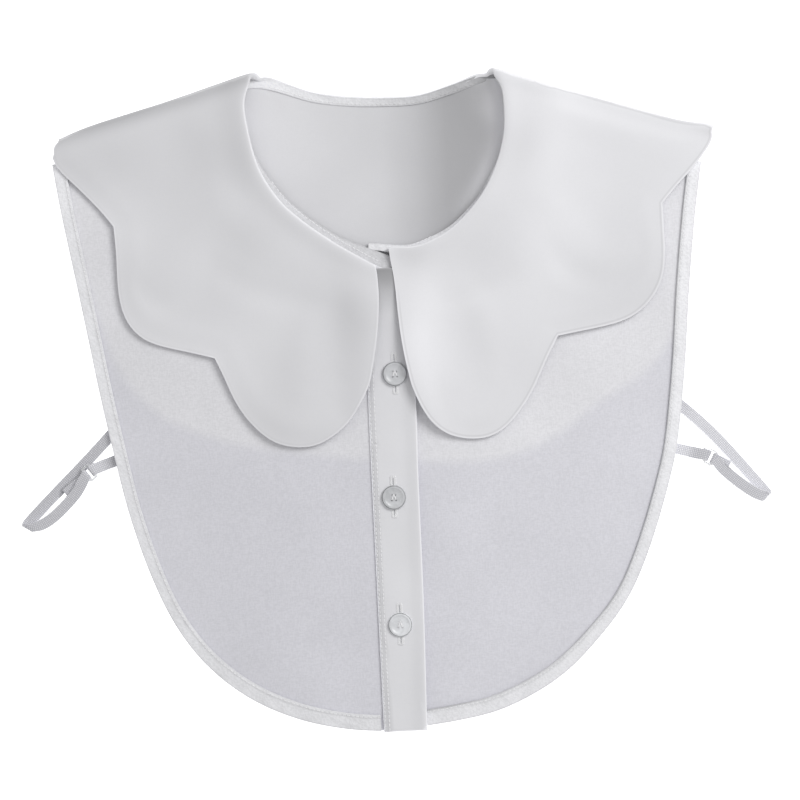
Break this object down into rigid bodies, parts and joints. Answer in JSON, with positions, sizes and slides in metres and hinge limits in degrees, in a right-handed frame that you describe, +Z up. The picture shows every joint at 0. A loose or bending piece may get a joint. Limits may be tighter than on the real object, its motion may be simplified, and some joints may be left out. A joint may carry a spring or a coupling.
{
  "type": "false collar",
  "caption": "White false collar with wide scalloped collar halves, a short buttoned bib front and a plain back, elastic side straps, laid flat.",
  "frame": {"origin": "centre of the bounding box, at the surface that the collar lies on", "axes": "+X to the right as seen from above with the neck at the top, +Y from the lower hem to the neck, +Z up"},
  "size_m": [0.4128, 0.3624, 0.0155],
  "materials": {
    "collar_cloth": "matt",
    "bib_cloth": "matt, slightly sheer",
    "facing_cloth": "matt",
    "binding_cloth": "matt",
    "webbing": "ribbed",
    "clear_plastic": "gloss",
    "pearl_plastic": "gloss"
  },
  "bodies": {
    "root": {"collar": "collar_cloth", "binding_left": "binding_cloth", "binding_right": "binding_cloth", "binding_back": "binding_cloth", "front_left": "bib_cloth", "front_right": "bib_cloth", "facing_left": "facing_cloth", "facing_right": "facing_cloth", "back_panel": "bib_cloth", "placket": "collar_cloth", "hem_left": "binding_cloth", "hem_right": "binding_cloth", "button_1": "pearl_plastic", "button_2": "pearl_plastic", "button_3": "pearl_plastic", "strap_left": "webbing", "strap_right": "webbing", "tab_left": "webbing", "tab_right": "webbing", "ring_left": "clear_plastic", "ring_right": "clear_plastic"}
  },
  "joints": []
}
